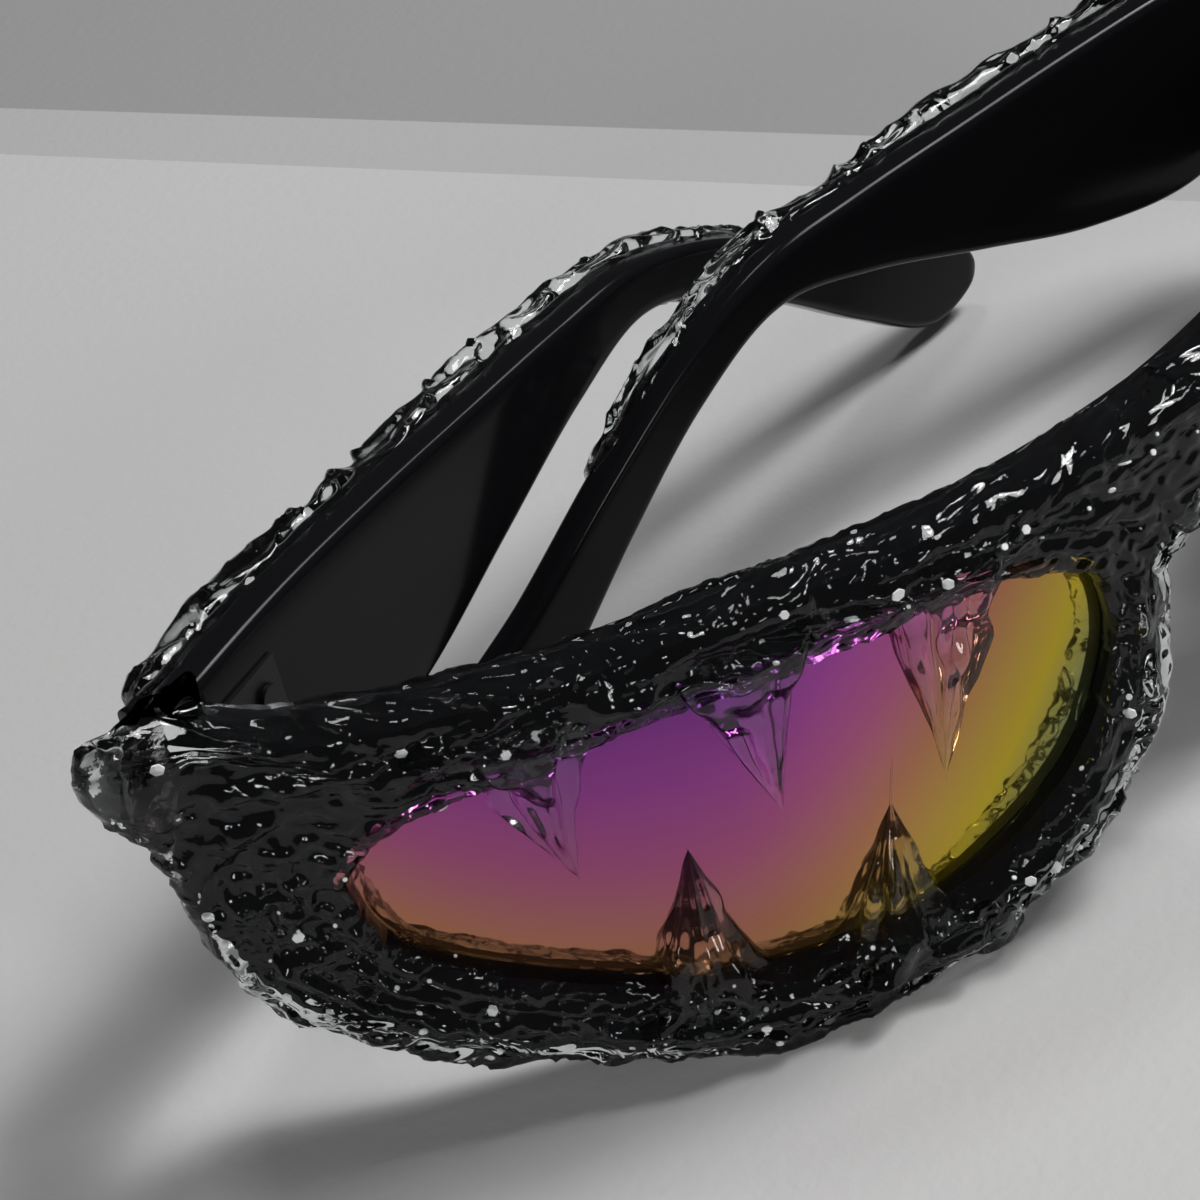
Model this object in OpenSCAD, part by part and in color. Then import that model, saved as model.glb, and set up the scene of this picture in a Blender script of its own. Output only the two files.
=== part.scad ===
// Wrap sunglasses with a cast clear ice coat, folded and lying on a table.
// Millimetres. +Z is up, the front faces -Y, +X is the wearer's left. Z = 0 is the table.

/* [Lens] */
// width of the opening in the frame, along the lens
lens_w = 56; // [50:0.5:62]
// height of the opening in the frame
lens_h = 23.4; // [19:0.2:28]
// thickness of the lens
lens_t = 2; // [1.6:0.1:2.4]
// how far the lens edge goes into its groove
lens_lip = 1.2; // [0.8:0.1:1.6]

/* [Front] */
// radius that the front is wrapped to
front_r = 85; // [80:1:95]
// yaw of each lens from straight ahead, degrees
wrap = 27; // [24:0.5:29]
// backward lean of the front, degrees
lean = 7; // [2:0.5:10]
// depth of the frame, front face to back face
front_t = 4.5; // [4:0.1:6]
// height of the rim above the lens
rim_top = 3.5; // [2.5:0.1:6]
// height of the rim below the lens
rim_bottom = 4.2; // [3.2:0.1:6]
// width of the rim beside the nose
rim_nasal = 3.3; // [2.8:0.1:5]
// width of the rim beside the end piece
rim_outer = 8.5; // [6:0.1:10]
// width of the nose gap
nose_w = 20; // [17:0.5:23]
// height of the bridge
bridge_h = 6.4; // [5:0.1:9]
// height of the end piece where the temple meets it
end_h = 10.6; // [9.6:0.2:13]
// depth of the front, apex to the faces that the temples butt on
end_y = 34; // [33:0.5:35]

/* [Temple] */
// hinge axis to tip, along the open temple
temple_len = 101.5; // [99:0.5:102.5]
// hinge axis to the bend over the ear
ear_u = 65; // [64:0.5:66]
// greatest height of the blade
temple_h = 18.4; // [15:0.2:20]
// height at the neck
neck_h = 4.2; // [3.8:0.1:4.8]
// height of the paddle at the tip
tip_h = 7.6; // [6.8:0.1:8]
// thickness at the hinge
temple_t = 4; // [3.6:0.1:4.4]
// thickness at the tip
tip_t = 2.8; // [2.4:0.1:3.4]
// radius of the inward bow of the temple
bow_r = 400; // [380:10:440]

/* [Hinge] */
// outer radius of the barrels
barrel_r = 1.7; // [1.5:0.05:1.9]
// height of the three barrels together
barrel_h = 7.6; // [7:0.2:8.2]
// radius of the hinge screw
screw_r = 0.7; // [0.6:0.05:0.8]
// thickness of the hinge leaves
leaf_t = 1.1; // [0.9:0.05:1.2]
// length of a leaf from the barrel
leaf_len = 10; // [9:0.5:11]
// radius of the rivets in the leaves
rivet_r = 0.6; // [0.5:0.05:0.7]

/* [Ice] */
// thickness of the coat on the front face
coat_t = 1.6; // [1.2:0.1:2.2]
// thickness of the coat round the edges
coat_edge = 1.2; // [0.8:0.1:1.6]
// how far the coat laps over the lens edge
coat_lap = 1; // [0.6:0.1:1.6]
// height of the main ridges over the coat
ridge_t = 0.6; // [0.3:0.1:0.9]
// length of the longest icicle
icicle_len = 13.2; // [10:0.2:14]
// radius of an icicle at its root
icicle_r = 3.1; // [2:0.1:3.4]

/* [Pose] */
// fold of the left temple as stored, degrees from open
left_fold = 79.5; // [79:0.5:82]
// fold of the right temple as stored, degrees from open
right_fold = 70.5; // [68:0.5:71]
// how far past straight a temple opens, degrees
over_open = 8; // [6:0.5:8]

/* [Fits] */
// gap between bonded or pressed faces
fit_gap = 0.04; // [0.02:0.01:0.06]
// radial gap of the screw in the turning barrel
run_gap = 0.05; // [0.03:0.01:0.08]
// gap between the barrels, and between temple and end piece
end_gap = 0.35; // [0.3:0.05:0.5]

/* [Hidden] */
$fn = 96;
black = [0.05, 0.05, 0.06];
ice = [0.85, 0.9, 0.95, 0.5];
steel = [0.7, 0.7, 0.72];
tint = [0.6, 0.2, 0.45];

foot_cut = coat_edge * 0.29;
back_r = front_r - front_t;
lens_front = front_r - (front_t - lens_t) * 0.48;
lens_back = lens_front - lens_t;
lens_z = rim_bottom + coat_edge + lens_h / 2 - foot_cut;
top_z = lens_z + lens_h / 2 + rim_top;
bridge_top = top_z - rim_top * 0.4;
end_top = top_z - rim_top * 0.23;
far = 200;

// outline of the opening: fractions of half its width (outward) and of half its height
lens_shape = [[0.95, 0.16], [0.92, 0.48], [0.77, 0.71], [0.36, 0.93], [-0.13, 1], [-0.6, 0.95],
    [-0.9, 0.77], [-1.01, 0.45], [-0.99, -0.05], [-0.8, -0.6], [-0.4, -0.97], [0.06, -0.98],
    [0.5, -0.68], [0.85, -0.28]];
// blade of the temple: fraction of ear_u, fall of the top edge, fraction of the growth from neck_h
blade = [[-0.2, 0.2, 0.5], [0.06, 0, 0.7], [0.22, 0.1, 1], [0.4, 0.7, 0.87], [0.58, 1.4, 0.55],
    [0.76, 1.9, 0.22], [0.91, 2.6, 0.03]];
// hook of the temple: fraction of its length, fraction of its fall, fraction of the growth to tip_h
hook = [[0.1, 0.16, 0.12], [0.36, 0.42, 0.38], [0.63, 0.72, 0.7], [0.88, 0.94, 1]];
// icicles: place in half lens widths, hanging (1) or rising (-1), length and lean in icicle_len
icicles = [[0.49, 1, 0.77, -0.16], [-0.06, 1, 0.83, -0.05], [-0.61, 1, 1, 0.22],
    [0.22, -1, 0.7, -0.16], [-0.29, -1, 0.57, -0.14]];

// hinge: the front leaf lies on the inner wall at the end face, and the axis stands behind that face
leaf_sink = 0.7;
setback = barrel_r + 0.7;
temple_in = barrel_r - leaf_sink;
hinge_z = end_top - end_h / 2 - 0.2;
knuckle = barrel_h / 3;
head_h = 0.7;
wall_y = (front_r + hinge_z * tan(lean) - end_y) * cos(lean);
wall_x = sqrt(back_r * back_r - wall_y * wall_y);
wall_a = atan2(wall_x, wall_y);
hinge_x = wall_x + setback * cos(wall_a) - temple_in * sin(wall_a);
hinge_y = end_y + setback * sin(wall_a) + temple_in * cos(wall_a);
temple_top = end_top + 0.2;

// point on a closed smooth curve, between p1 and p2
function between(p0, p1, p2, p3, t) =
    0.5 * (2 * p1 + (p2 - p0) * t + (2 * p0 - 5 * p1 + 4 * p2 - p3) * t * t
    + (3 * p1 - p0 - 3 * p2 + p3) * t * t * t);
function smooth(p, n) = let (k = len(p)) [for (i = [0:k - 1]) for (j = [0:n - 1])
    between(p[(i + k - 1) % k], p[i], p[(i + 1) % k], p[(i + 2) % k], j / n)];
// outward normal of an anticlockwise curve, and the curve moved along it
function normal_at(c, i) = let (k = len(c), d = c[(i + 1) % k] - c[(i + k - 1) % k])
    [d[1], -d[0]] / norm(d);
function grown(c, g) = [for (i = [0:len(c) - 1]) c[i] + g * normal_at(c, i)];

lens_curve = smooth([for (f = lens_shape) [f[0] * lens_w / 2, lens_z + f[1] * lens_h / 2]], 5);
function opening(g) = grown(lens_curve, g);
function rim_w(n) = (n[1] > 0 ? rim_top : rim_bottom) * n[1] * n[1]
    + (n[0] > 0 ? rim_outer : rim_nasal) * n[0] * n[0];
function rim(g) = [for (i = [0:len(lens_curve) - 1]) let (n = normal_at(lens_curve, i))
    lens_curve[i] + (rim_w(n) + g) * n];

// end piece and half bridge, in the same plane as the lens outline
end_p = lens_w / 2 + rim_outer * 2.1;
function lug(g) = [[lens_w * 0.3, lens_z],
    [lens_w * 0.49 + g * 0.5, lens_z - lens_h * 0.31 - g * 0.8],
    [lens_w / 2 + (rim_outer * 0.4 + g * 0.7), lens_z - lens_h * 0.17 - g * 0.7],
    [lens_w / 2 + (rim_outer * 0.95 + g * 0.7), end_top - end_h - g * 0.7],
    [end_p, end_top - end_h - g], [end_p, end_top + end_h * 0.08 + g],
    [lens_w / 2 + rim_outer * 0.6, end_top - rim_top * 0.14 + g],
    [lens_w * 0.1, top_z - rim_top * 0.21 + g]];
nose_p = front_r * sin(wrap);
nose_z = lens_z - lens_h * 0.2;
arch_h = bridge_top - bridge_h - nose_z;
function bridge(g) = concat(
    [[-lens_w * 0.38, nose_z], [-lens_w * 0.22, top_z - rim_top * 0.14 + g],
    [-nose_p - 9, bridge_top + g], [-nose_p - 9, nose_z + arch_h - g]],
    [for (a = [90:-10:0]) [-nose_p + (nose_w / 2 - g) * cos(a), nose_z + (arch_h - g) * sin(a)]]);

// solids that the front is cut from
module prism(c)
    translate([0, front_r, 0]) rotate([0, 0, wrap]) rotate([90, 0, 0]) translate([0, 0, front_r * 0.62])
        linear_extrude(height = front_r * 0.55) polygon(c);
module wrap_cyl(r)
    translate([0, front_r, 0]) rotate([-lean, 0, 0]) translate([0, 0, -60]) rotate([0, 0, 90])
        cylinder(r = r, h = 160);
module wrap_ring(r_out, r_in) difference() { wrap_cyl(r_out); wrap_cyl(r_in); }
module outline(g) { prism(rim(g)); prism(lug(g)); prism(bridge(g)); }
module left_side() translate([0, -far / 2, -far / 4]) cube([far, far, far]);
module behind_end() translate([-far / 2, end_y, -far / 4]) cube([far, far, far]);
module before_back() translate([-far / 2, end_y - far, -far / 4]) cube([far, far, far]);
module below_table() translate([-far / 2, -far / 2, -far]) cube([far, far, far]);
module both_sides() { children(); mirror([1, 0, 0]) children(); }

// point on the wrapped surface of radius r, at p along the lens and height z
function on_wrap(p, z, r) = let (s = z * tan(lean), q = p - s * sin(wrap),
    d = sqrt(r * r - q * q) - s * cos(wrap))
    [p * cos(wrap) + d * sin(wrap), front_r + p * sin(wrap) - d * cos(wrap), z];
module cone(a, b, r1, r2) let (v = b - a)
    translate(a) rotate([0, acos(v[2] / norm(v)), atan2(v[1], v[0])])
        cylinder(h = norm(v), r1 = r1, r2 = r2);

// black moulded front, with nose pads moulded on its back
module nose_pad()
    translate([wall_x * 0.152, front_t * 2.2, nose_z + 1.5]) rotate([0, -14, -24]) rotate([90, 0, 90])
        linear_extrude(height = 2.2) polygon([for (a = [0:10:350]) [5 * cos(a), 6.4 * sin(a)]]);
module front_half()
    difference() {
        union() {
            intersection() {
                wrap_ring(front_r, back_r);
                union() outline(0);
                left_side();
            }
            intersection() { nose_pad(); wrap_cyl(front_r - front_t / 2); }
        }
        prism(opening(0));
        intersection() {
            wrap_ring(lens_front + fit_gap, lens_back - fit_gap);
            prism(opening(lens_lip + fit_gap));
        }
        behind_end();
        at_end() leaf_plate(fit_gap);
        at_end() rivets_front(fit_gap, false);
    }
module front_frame() color(black) both_sides() front_half();

// tinted lenses, held in a groove all round
module lens() color(tint)
    intersection() { wrap_ring(lens_front, lens_back); prism(opening(lens_lip)); }
module left_lens() lens();
module right_lens() mirror([1, 0, 0]) lens();

// hinge: place at the end of the front, X along the wall towards the nose, Y outwards
module at_end() translate([wall_x, end_y, hinge_z]) rotate([0, 0, 180 + wall_a]) children();
module barrel(z0, z1, r) translate([0, 0, z0]) cylinder(r = r, h = z1 - z0);
module leaf_plate(g)
    translate([-setback, leaf_sink - leaf_t - g, -barrel_h / 2 - g])
        cube([leaf_len + g, leaf_t + 2 * g, barrel_h + 2 * g]);
module rivet(x, depth, g, headed) translate([x, leaf_sink - leaf_t, 0]) rotate([-90, 0, 0]) {
    translate([0, 0, -0.2]) cylinder(r = rivet_r + g, h = depth + 0.2 + g);
    if (headed) translate([0, 0, -0.4]) cylinder(r = rivet_r + 0.45, h = 0.4 - fit_gap);
}
// the front rivets stand one above the other beside the lens edge, and end short of the lens
rivet_in = lens_back - back_r + leaf_t - leaf_sink - 6 * fit_gap;
lens_edge = on_wrap(lens_w / 2 + lens_lip, hinge_z, back_r);
rivet_room = norm([wall_x - lens_edge[0], end_y - lens_edge[1]]);
module rivets_front(g, headed) for (z = [-0.27, 0.27] * barrel_h)
    translate([0, 0, z]) rivet(rivet_room * 0.45, rivet_in, g, headed);
module front_leaf() color(steel) at_end()
    difference() {
        union() {
            leaf_plate(0);
            translate([-setback, -temple_in, 0]) barrel(-barrel_h / 2, barrel_h / 2, barrel_r);
        }
        translate([-setback, -temple_in, 0]) {
            barrel(-knuckle / 2 - end_gap / 2, knuckle / 2 + end_gap / 2, barrel_r + end_gap);
            barrel(-barrel_h, barrel_h, screw_r + fit_gap);
        }
        rivets_front(fit_gap, false);
    }
module left_front_leaf() front_leaf();
module right_front_leaf() mirror([1, 0, 0]) front_leaf();
module left_front_rivets() color(steel) at_end() rivets_front(0, true);
module right_front_rivets() mirror([1, 0, 0]) left_front_rivets();

module hinge_screw() color(steel) translate([hinge_x, hinge_y, hinge_z])
    difference() {
        union() {
            barrel(-barrel_h / 2, barrel_h / 2 + 0.3, screw_r);
            barrel(barrel_h / 2 + fit_gap, barrel_h / 2 + head_h, barrel_r - 0.3);
        }
        translate([-barrel_r, -0.18, barrel_h / 2 + head_h * 0.57]) cube([2 * barrel_r, 0.36, 1]);
    }
module left_hinge_screw() hinge_screw();
module right_hinge_screw() mirror([1, 0, 0]) hinge_screw();

// temple, in its own frame: hinge axis at X = Y = 0, open along +Y, outer face towards +X
hook_len = temple_len - ear_u;
neck_top = temple_top - blade[6][1];
hook_top = tip_h * 1.1;
temple_top_pts = concat(
    [for (b = blade) [b[0] * ear_u, temple_top - b[1]]],
    [for (h = hook) [ear_u + h[0] * hook_len, neck_top + (hook_top - neck_top) * h[1]]]);
temple_low_pts = concat(
    [for (b = blade) [b[0] * ear_u, temple_top - b[1] - neck_h - (temple_h - neck_h) * b[2]]],
    [for (h = hook) [ear_u + h[0] * hook_len - 2.2 * h[2],
        max(0, neck_top + (hook_top - neck_top) * h[1] - 1.1 * (neck_h + (tip_h - neck_h) * h[2]))]]);
last = len(temple_low_pts) - 1;
temple_curve = smooth(concat(
    temple_low_pts, [[temple_len, tip_h * 0.45]],
    [for (i = [last:-1:0]) temple_top_pts[i]]), 4);
tip_slope = temple_len / bow_r;
bow_in = bow_r - sqrt(bow_r * bow_r - temple_len * temple_len);
bow_w = bow_in - tip_t / cos(asin(tip_slope)) + temple_t;
outer_r = (temple_len * temple_len + bow_w * bow_w) / (2 * bow_w);
module temple_side(c) rotate([90, 0, 90]) translate([0, 0, -60]) linear_extrude(height = 80) polygon(c);
module bow_cyl(x, r) translate([x - r, 0, -20]) rotate([0, 0, 180]) cylinder(r = r, h = 80);
module before_end(g) rotate([0, 0, over_open])
    translate([-60, -50 - setback + end_gap + g, -20]) cube([120, 50, 80]);
module temple_leaf_plate(g)
    translate([barrel_r - leaf_t - g, 0, hinge_z - knuckle - g])
        cube([leaf_t + 2 * g, leaf_len + g, 2 * knuckle + 2 * g]);
module rivets_temple(g, headed) for (y = [leaf_len * 0.48, leaf_len * 0.82])
    translate([temple_in, y, hinge_z]) rotate([0, 0, -90]) rivet(0, leaf_t + 1.5, g, headed);
module temple_body() color(black)
    difference() {
        intersection() {
            bow_cyl(temple_in + temple_t, outer_r);
            temple_side(temple_curve);
        }
        bow_cyl(temple_in, bow_r);
        before_end(0);
        translate([0, 0, hinge_z])
            barrel(-barrel_h / 2 - end_gap, barrel_h / 2 + head_h + end_gap, barrel_r + end_gap);
        temple_leaf_plate(fit_gap);
        rivets_temple(fit_gap, false);
    }
module temple_leaf() color(steel)
    difference() {
        union() {
            temple_leaf_plate(0);
            translate([0, 0, hinge_z])
                barrel(-knuckle / 2 + end_gap / 2, knuckle / 2 - end_gap / 2, barrel_r);
        }
        translate([0, 0, hinge_z]) {
            barrel(-barrel_h, -knuckle / 2 + end_gap / 2, barrel_r + end_gap);
            barrel(knuckle / 2 - end_gap / 2, barrel_h, barrel_r + end_gap);
            barrel(-barrel_h, barrel_h, screw_r + run_gap);
        }
        rivets_temple(fit_gap, false);
    }
ice_len = ear_u * 1.22;
module temple_ice() color(ice)
    difference() {
        intersection() {
            bow_cyl(temple_in + temple_t + coat_t, outer_r + coat_t);
            temple_side(grown(temple_curve, coat_edge * 0.6));
            translate([-60, -20, -20]) cube([120, 20 + ice_len, 80]);
        }
        bow_cyl(temple_in + temple_t + fit_gap, outer_r + fit_gap);
        before_end(0.4);
        below_table();
    }
module stored_left() translate([hinge_x, hinge_y, 0]) rotate([0, 0, left_fold]) children();
module stored_right() mirror([1, 0, 0])
    translate([hinge_x, hinge_y, 0]) rotate([0, 0, right_fold]) children();
module left_temple() stored_left() temple_body();
module right_temple() stored_right() temple_body();
module left_temple_leaf() stored_left() temple_leaf();
module right_temple_leaf() stored_right() temple_leaf();
module left_temple_rivets() stored_left() color(steel) rivets_temple(0, true);
module right_temple_rivets() stored_right() color(steel) rivets_temple(0, true);
module left_temple_ice() stored_left() temple_ice();
module right_temple_ice() stored_right() temple_ice();

// clear ice cast over the front: a skin, a lap over the lens edge, and a tail with lumps at the
// end that leave room for the temple to swing
module swing_room() intersection() {
    behind_end();
    translate([hinge_x, hinge_y, -far / 4])
        cylinder(r = norm([temple_in + temple_t + coat_t, setback]) + 2 * end_gap, h = far);
}
// the tail: a thicker part of the coat, from the keel below up to the wing tip, placed from where
// the face of the coat meets the end
tail_p = sqrt(pow(front_r + coat_t, 2) - wall_y * wall_y) * cos(wrap) + (end_y - front_r) * sin(wrap);
tail = smooth([[tail_p - rim_outer * 0.7, lens_z - lens_h * 0.2],
    [tail_p - rim_outer * 0.11, lens_z - lens_h * 0.06],
    [tail_p + coat_edge * 0.4, lens_z + lens_h * 0.07], [tail_p, lens_z + lens_h * 0.31],
    [tail_p + coat_edge * 0.9, lens_z + lens_h * 0.5], [tail_p + coat_edge, end_top + coat_edge * 0.8],
    [tail_p - rim_outer * 0.24, end_top + coat_edge * 1.1], [tail_p - rim_outer * 0.5, end_top - coat_edge],
    [tail_p - rim_outer * 0.34, lens_z + lens_h * 0.31], [tail_p - rim_outer * 0.44, lens_z]], 4);
module ice_tail() intersection() {
    wrap_ring(front_r + coat_t * 1.8, front_r + coat_t / 2);
    prism(tail);
    left_side();
    before_back();
}
module ice_lumps() difference() {
    union() {
        translate(on_wrap(tail_p - coat_edge * 0.3, end_top - coat_edge * 0.6, front_r + coat_t * 1.2))
            sphere(r = coat_t * 1.6);
        translate(on_wrap(tail_p - coat_edge, lens_z + lens_h * 0.015, front_r + coat_t))
            sphere(r = coat_t * 1.25);
    }
    swing_room();
}
// main ridges of the combed coat: two ends each, in half widths and half heights of the lens
ridges = [[-0.79, 1.1, -0.32, 1.18], [-0.21, 1.15, 0.29, 1.13], [0.39, 1.1, 0.86, 1.01],
    [0.79, 1.13, 1.18, 1.08], [1.04, 0.87, 1.2, 0.79], [1.02, 0.45, 1.2, 0.28],
    [1, -0.02, 1.16, -0.19], [0.46, -0.9, 0.86, -0.61], [0, -1.16, 0.39, -1.04],
    [-0.5, -1.14, -0.11, -1.18], [-0.87, -0.62, -0.57, -1.06], [-1.06, -0.4, -1.08, 0.45]];
function strand(k) = let (a = [k[0] * lens_w / 2, lens_z + k[1] * lens_h / 2],
    b = [k[2] * lens_w / 2, lens_z + k[3] * lens_h / 2], u = (b - a) / norm(b - a),
    v = [-u[1], u[0]] * ridge_t)
    [a, a + u * ridge_t * 2 - v, b - u * ridge_t * 2 - v,
        b, b - u * ridge_t * 2 + v, a + u * ridge_t * 2 + v];
module ice_ridges() intersection() {
    wrap_ring(front_r + coat_t + ridge_t, front_r + coat_t / 2);
    union() for (k = ridges) prism(strand(k));
    left_side();
    before_back();
}
module front_ice_half()
    difference() {
        union() {
            intersection() {
                wrap_ring(front_r + coat_t, back_r + coat_edge);
                union() outline(coat_edge);
                left_side();
                before_back();
            }
            ice_tail();
            ice_lumps();
            ice_ridges();
        }
        intersection() {
            wrap_ring(front_r + fit_gap, back_r - 3);
            difference() { union() outline(fit_gap); prism(opening(-fit_gap)); }
        }
        intersection() { wrap_ring(lens_front + fit_gap, back_r - 3); prism(opening(0.1)); }
        prism(opening(-coat_lap));
        below_table();
    }
module front_ice() color(ice) both_sides() front_ice_half();

function edge_z(p, up) = let (reach = lens_w * 0.055,
    near = [for (c = lens_curve) if (abs(c[0] - p) < reach && up * (c[1] - lens_z) > 0) c[1]])
    up > 0 ? max(near) : min(near);
module icicle_set() color(ice)
    difference() {
        intersection() {
            prism(opening(-coat_lap - fit_gap));
            union() for (k = icicles) let (p = k[0] * lens_w / 2, z = edge_z(p, k[1]))
                cone(on_wrap(p, z + k[1] * 1.5, lens_front + 0.7),
                    on_wrap(p + k[3] * icicle_len, z - k[1] * (k[2] * icicle_len + coat_lap),
                        lens_front + 0.3), icicle_r, 0.35);
        }
        wrap_cyl(lens_front + fit_gap, $fn = 360);
    }
module left_icicles() icicle_set();
module right_icicles() mirror([1, 0, 0]) icicle_set();

front_frame();
left_lens();
right_lens();
front_ice();
left_icicles();
right_icicles();
left_front_leaf();
right_front_leaf();
left_front_rivets();
right_front_rivets();
left_hinge_screw();
right_hinge_screw();
left_temple();
right_temple();
left_temple_leaf();
right_temple_leaf();
left_temple_rivets();
right_temple_rivets();
left_temple_ice();
right_temple_ice();
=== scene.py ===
import bmesh
import bpy
import numpy as np
from mathutils import Matrix


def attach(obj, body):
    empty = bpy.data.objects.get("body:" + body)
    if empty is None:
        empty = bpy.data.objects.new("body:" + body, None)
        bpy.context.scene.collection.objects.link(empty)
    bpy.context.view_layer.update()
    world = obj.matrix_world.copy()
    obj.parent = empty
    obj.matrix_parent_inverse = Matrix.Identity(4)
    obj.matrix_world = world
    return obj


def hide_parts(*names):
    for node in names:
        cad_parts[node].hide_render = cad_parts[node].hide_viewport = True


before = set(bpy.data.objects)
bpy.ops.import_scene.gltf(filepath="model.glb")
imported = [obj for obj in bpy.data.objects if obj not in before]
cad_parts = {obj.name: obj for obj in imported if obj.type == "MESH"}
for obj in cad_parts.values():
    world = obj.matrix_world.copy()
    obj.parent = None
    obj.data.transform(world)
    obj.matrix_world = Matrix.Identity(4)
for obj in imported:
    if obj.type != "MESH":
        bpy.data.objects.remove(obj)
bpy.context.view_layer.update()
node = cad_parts
mm = 0.001


# Camera. The view is close and hand held, from above the right lens, and the
# picture is turned a little, so that the far temple runs out of the top corner.
camera_at = np.array([-138.0, -118.2, 152.3])
turn, down, roll = np.radians([35.72, 35.2, -13.91])
view = bpy.data.cameras.new("view")
view.sensor_width, view.lens = 36.0, 96.58


def placed(at, x, y, z):
    """Matrix that puts an object at a place, in metres, with its axes along x, y and z."""
    return Matrix.Translation(at) @ Matrix(np.column_stack([x, y, z])).to_4x4()


ahead = np.array([np.sin(turn) * np.cos(down), np.cos(turn) * np.cos(down), -np.sin(down)])
level = np.array([np.cos(turn), -np.sin(turn), 0.0])
upright = np.cross(level, ahead)
right = np.cos(roll) * level + np.sin(roll) * upright
top = np.cos(roll) * upright - np.sin(roll) * level
camera = bpy.data.objects.new("camera", view)
camera.matrix_world = placed(camera_at * mm, right, top, -ahead)
bpy.context.scene.collection.objects.link(camera)
bpy.context.scene.camera = camera


# Front. One black moulding, glossy from the tool, wrapped to a leaning cylinder, with
# the nose pads moulded on. It shows through the ice that wets it, and bare on its back.
front_r, front_t, wrap, lean = 85.0, 4.5, np.radians(27), np.radians(7)
black = (0.006, 0.006, 0.007, 1)


def new_group(name, inputs, outputs):
    """Shader group with float inputs at their first values and outputs of the given kinds."""
    group = bpy.data.node_groups.new(name, "ShaderNodeTree")
    sockets = group.interface.new_socket
    for key, value in inputs:
        sockets(key, in_out="INPUT", socket_type="NodeSocketFloat").default_value = value
    for key, kind in outputs:
        sockets(key, in_out="OUTPUT", socket_type=kind)
    return group, group.nodes.new("NodeGroupInput"), group.nodes.new("NodeGroupOutput")


def handled_group():
    """Noise in Object space: a roughness of Gloss + Drift x noise, and a faintly rippled normal."""
    group, given, out = new_group(
        "handled_gloss",
        (("Gloss", 0.1), ("Drift", 0.1), ("Ripple", 0.05), ("Scale", 90.0)),
        (("Roughness", "NodeSocketFloat"), ("Normal", "NodeSocketVector")))
    new, link = group.nodes.new, group.links.new
    place, noise = new("ShaderNodeTexCoord"), new("ShaderNodeTexNoise")
    bump, drift = new("ShaderNodeBump"), new("ShaderNodeMath")
    noise.inputs["Detail"].default_value = 5
    drift.operation = "MULTIPLY_ADD"
    link(place.outputs["Object"], noise.inputs["Vector"])
    link(given.outputs["Scale"], noise.inputs["Scale"])
    link(noise.outputs["Fac"], drift.inputs[0])
    link(given.outputs["Drift"], drift.inputs[1])
    link(given.outputs["Gloss"], drift.inputs[2])
    link(noise.outputs["Fac"], bump.inputs["Height"])
    link(given.outputs["Ripple"], bump.inputs["Strength"])
    bump.inputs["Distance"].default_value = 0.1 * mm
    link(drift.outputs[0], out.inputs["Roughness"])
    link(bump.outputs["Normal"], out.inputs["Normal"])
    return group


def facing_group():
    """How far a face looks back: Y of the normal in Object space, with the way from Start to End
    mapped to the way from Low to High."""
    group, given, out = new_group(
        "looking_back", (("Start", 0.0), ("End", 1.0), ("Low", 0.0), ("High", 1.0)),
        (("Value", "NodeSocketFloat"),))
    new, link = group.nodes.new, group.links.new
    place, split = new("ShaderNodeTexCoord"), new("ShaderNodeSeparateXYZ")
    mapped = new("ShaderNodeMapRange")
    link(place.outputs["Normal"], split.inputs[0])
    link(split.outputs["Y"], mapped.inputs["Value"])
    for key, socket in (("Start", "From Min"), ("End", "From Max"),
                        ("Low", "To Min"), ("High", "To Max")):
        link(given.outputs[key], mapped.inputs[socket])
    link(mapped.outputs[0], out.inputs["Value"])
    return group


handled, looking_back = handled_group(), facing_group()


def effect(material, group, *values):
    """Places a group in a material, sets its inputs in their order, and gives its outputs."""
    step = material.node_tree.nodes.new("ShaderNodeGroup")
    step.node_tree = group
    for socket, value in zip(step.inputs, values):
        socket.default_value = value
    return step.outputs


def finish_of(name, colour, metallic=0.0, specular=0.5,
              gloss=0.1, drift=0.1, ripple=0.05, scale=90.0):
    """A plain material whose roughness and normal come from the handled gloss."""
    material = bpy.data.materials.new(name)
    material.use_nodes = True
    shader = material.node_tree.nodes["Principled BSDF"]
    shader.inputs["Base Color"].default_value = colour
    shader.inputs["Metallic"].default_value = metallic
    shader.inputs["Specular IOR Level"].default_value = specular
    marks = effect(material, handled, gloss, drift, ripple, scale)
    for key in ("Roughness", "Normal"):
        material.node_tree.links.new(marks[key], shader.inputs[key])
    return material


def dress(piece, material):
    """Puts one material on a piece that comes from the solids."""
    piece.data.materials.clear()
    piece.data.materials.append(material)


black_gloss = finish_of("black_gloss", black, specular=0.1,
                        gloss=0.08, drift=0.12, ripple=0.06, scale=60.0)
wetted_black = finish_of("wetted_black", black, specular=0.05, ripple=0.06, scale=60.0)
bare_rough, wetted_rough = 0.14, 0.9
wetted_black.node_tree.links.new(
    effect(wetted_black, looking_back, 0.5, 0.3, bare_rough, wetted_rough)["Value"],
    wetted_black.node_tree.nodes["Principled BSDF"].inputs["Roughness"])
dress(node["front_frame"], wetted_black)


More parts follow.
